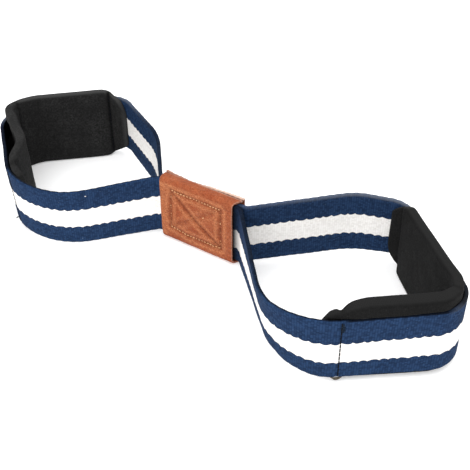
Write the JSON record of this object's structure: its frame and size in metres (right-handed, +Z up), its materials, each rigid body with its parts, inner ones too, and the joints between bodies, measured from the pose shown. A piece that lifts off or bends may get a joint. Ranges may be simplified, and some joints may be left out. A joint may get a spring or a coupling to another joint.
{
  "type": "figure-eight lifting strap",
  "caption": "Endless striped webbing pinched by a stitched leather sleeve into two padded wrist loops, for holding on to a lifting bar.",
  "frame": {"origin": "on the resting surface, under the middle of the leather sleeve", "axes": "+X along the sleeve towards the right loop, +Y away from the sleeve's stitched front, +Z up"},
  "size_m": [0.3158, 0.1182, 0.0495],
  "materials": {
    "webbing": "woven navy with a white stripe",
    "leather": "tan, satin, stitched",
    "pad": "matte black foam with a fine knit face"
  },
  "bodies": {
    "root": {"webbing": "webbing", "leather_sleeve": "leather", "wrist_pad_left": "pad", "wrist_pad_right": "pad"}
  },
  "joints": []
}
